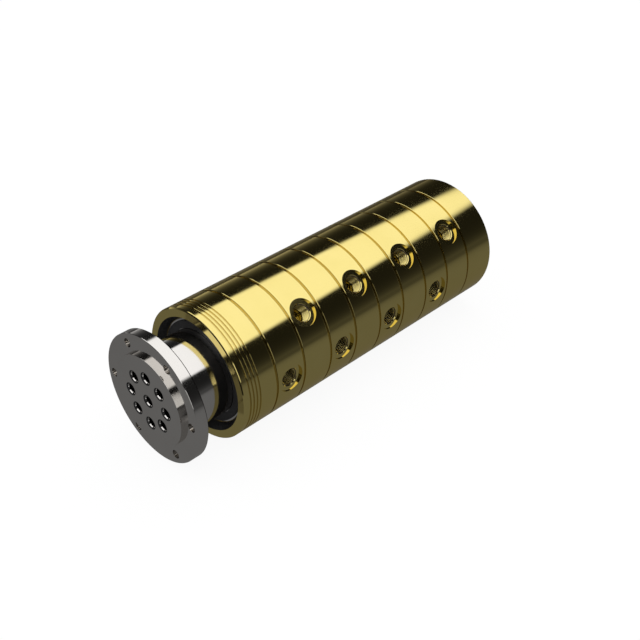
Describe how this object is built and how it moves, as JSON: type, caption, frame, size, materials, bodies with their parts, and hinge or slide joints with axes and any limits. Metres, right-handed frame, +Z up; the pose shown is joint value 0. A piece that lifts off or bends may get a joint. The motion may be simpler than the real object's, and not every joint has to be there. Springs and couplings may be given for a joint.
{
  "type": "rotary union",
  "caption": "Rotary union: a flanged steel shaft turns on ball bearings in a stack of brass rings, each with a threaded side port fed by its own passage along the shaft.",
  "frame": {"origin": "centre of the flange's front face, where the spigot boss stands on it", "axes": "+X along the axis from the flange to the rear end, +Z up, ports on the -Y side and between it and +Z"},
  "size_m": [0.3082, 0.1, 0.1],
  "materials": {
    "polished_brass": "mirror polished",
    "polished_steel": "mirror polished",
    "bearing_steel": "ground",
    "spring_steel": "blackened",
    "screw_steel": "blackened",
    "cage_plastic": "moulded",
    "black_rubber": "moulded",
    "filled_ptfe": "turned"
  },
  "bodies": {
    "rotor": {"shaft": "polished_steel", "front_inner_race": "bearing_steel", "rear_inner_race": "bearing_steel", "shaft_retaining_ring": "spring_steel"},
    "housing": {"front_cap": "polished_brass", "port_ring_1": "polished_brass", "port_ring_2": "polished_brass", "port_ring_3": "polished_brass", "port_ring_4": "polished_brass", "port_ring_5": "polished_brass", "port_ring_6": "polished_brass", "port_ring_7": "polished_brass", "port_ring_8": "polished_brass", "rear_cap": "polished_brass", "end_cover": "polished_brass", "front_outer_race": "bearing_steel", "rear_outer_race": "bearing_steel", "cover_retaining_ring": "spring_steel", "tie_bolts": "screw_steel", "front_bearing_front_seal": "black_rubber", "front_bearing_rear_seal": "black_rubber", "rear_bearing_front_seal": "black_rubber", "rear_bearing_rear_seal": "black_rubber", "seal_o_ring_1": "black_rubber", "seal_o_ring_2": "black_rubber", "seal_o_ring_3": "black_rubber", "seal_o_ring_4": "black_rubber", "seal_o_ring_5": "black_rubber", "seal_o_ring_6": "black_rubber", "seal_o_ring_7": "black_rubber", "seal_o_ring_8": "black_rubber", "seal_o_ring_9": "black_rubber", "joint_o_ring_1": "black_rubber", "joint_o_ring_2": "black_rubber", "joint_o_ring_3": "black_rubber", "joint_o_ring_4": "black_rubber", "joint_o_ring_5": "black_rubber", "joint_o_ring_6": "black_rubber", "joint_o_ring_7": "black_rubber", "joint_o_ring_8": "black_rubber", "joint_o_ring_9": "black_rubber", "slide_seal_1": "filled_ptfe", "slide_seal_2": "filled_ptfe", "slide_seal_3": "filled_ptfe", "slide_seal_4": "filled_ptfe", "slide_seal_5": "filled_ptfe", "slide_seal_6": "filled_ptfe", "slide_seal_7": "filled_ptfe", "slide_seal_8": "filled_ptfe", "slide_seal_9": "filled_ptfe"},
    "front_cage": {"front_cage": "cage_plastic", "front_balls": "bearing_steel"},
    "rear_cage": {"rear_cage": "cage_plastic", "rear_balls": "bearing_steel"}
  },
  "joints": [
    {"name": "housing_spin", "type": "hinge", "parent": "rotor", "child": "housing", "pos_m": [0.049, 0, 0], "axis": [1, 0, 0], "continuous": true},
    {"name": "front_cage_spin", "type": "hinge", "parent": "rotor", "child": "front_cage", "pos_m": [0.049, 0, 0], "axis": [1, 0, 0], "continuous": true},
    {"name": "rear_cage_spin", "type": "hinge", "parent": "rotor", "child": "rear_cage", "pos_m": [0.287, 0, 0], "axis": [1, 0, 0], "continuous": true}
  ],
  "couplings": [
    {"joint": "front_cage_spin", "follows": "housing_spin", "ratio": 0.53786},
    {"joint": "rear_cage_spin", "follows": "housing_spin", "ratio": 0.53456}
  ]
}
